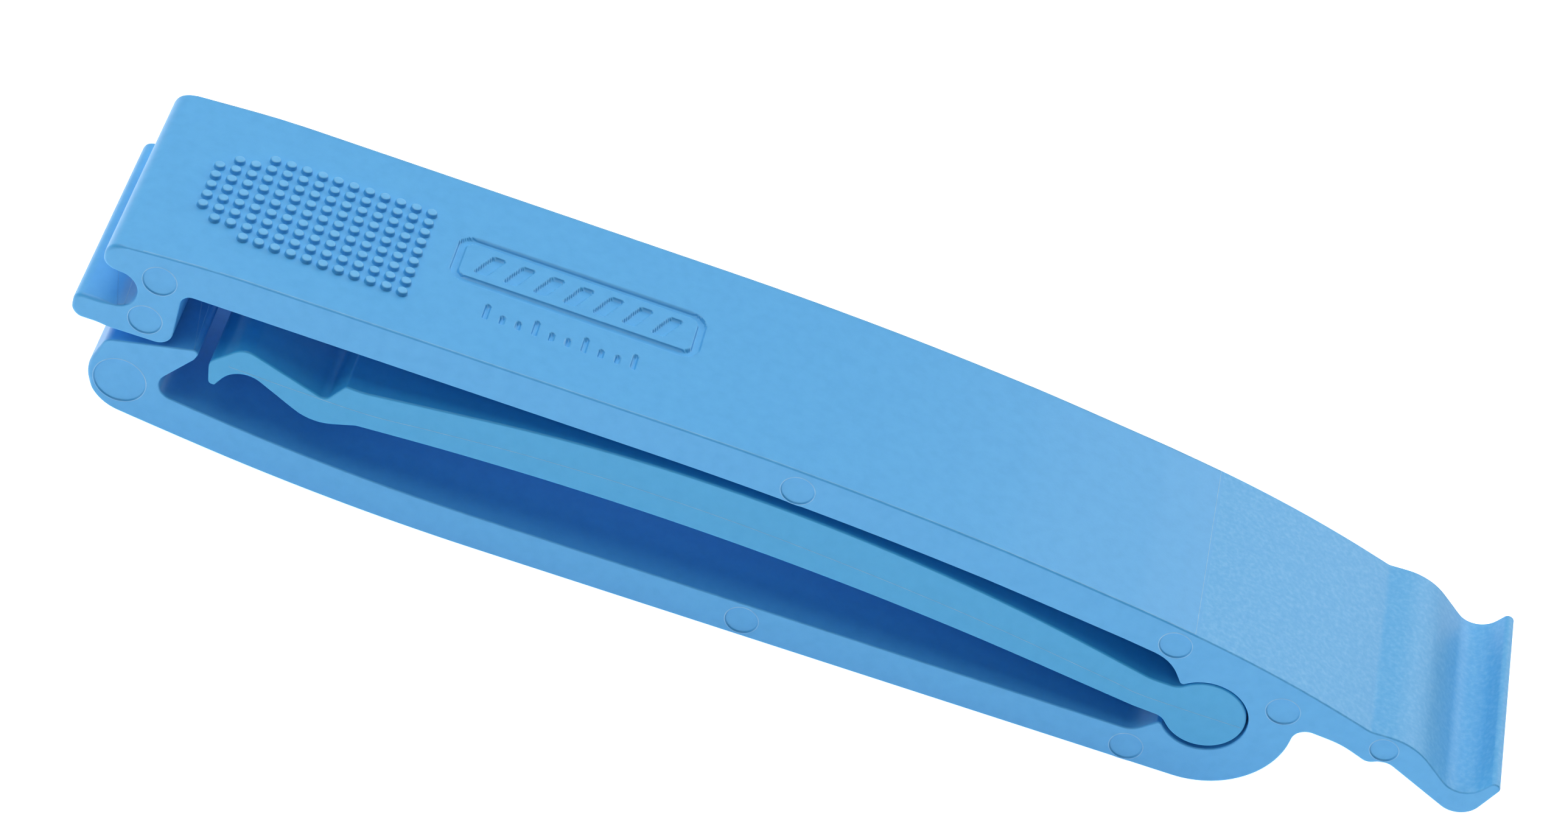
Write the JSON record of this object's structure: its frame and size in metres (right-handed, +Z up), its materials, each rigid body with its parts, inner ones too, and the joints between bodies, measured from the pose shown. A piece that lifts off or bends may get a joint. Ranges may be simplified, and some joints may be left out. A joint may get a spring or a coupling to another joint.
{
  "type": "bicycle tyre lever set",
  "caption": "Hairpin-shaped nylon tyre lever with a hooked end and a spoke slot, storing a smaller hooked lever whose round bulb sits in a C-shaped socket.",
  "frame": {"origin": "bottom centre of the whole tool: midway along its length and its width, at the height of the lower arm's flat underside", "axes": "+X along the tool towards the tyre hook, +Y across the width, +Z up from the lower arm to the upper arm"},
  "size_m": [0.14, 0.024, 0.0229],
  "materials": {
    "outer_nylon": "satin",
    "lever_nylon": "satin"
  },
  "bodies": {
    "hook_arm": {"hook_arm": "outer_nylon"},
    "spoke_arm": {"spoke_arm": "outer_nylon"},
    "inner_lever": {"inner_lever": "lever_nylon"}
  },
  "joints": [
    {"name": "arm_flex", "type": "hinge", "parent": "hook_arm", "child": "spoke_arm", "pos_m": [0.021, 0, 0.01795], "axis": [0, 1, 0], "range_deg": [0, 10], "stiffness_Nm_per_rad": 2.7},
    {"name": "lever_out", "type": "slide", "parent": "hook_arm", "child": "inner_lever", "axis": [0, -1, 0], "range_m": [0, 0.032]}
  ]
}
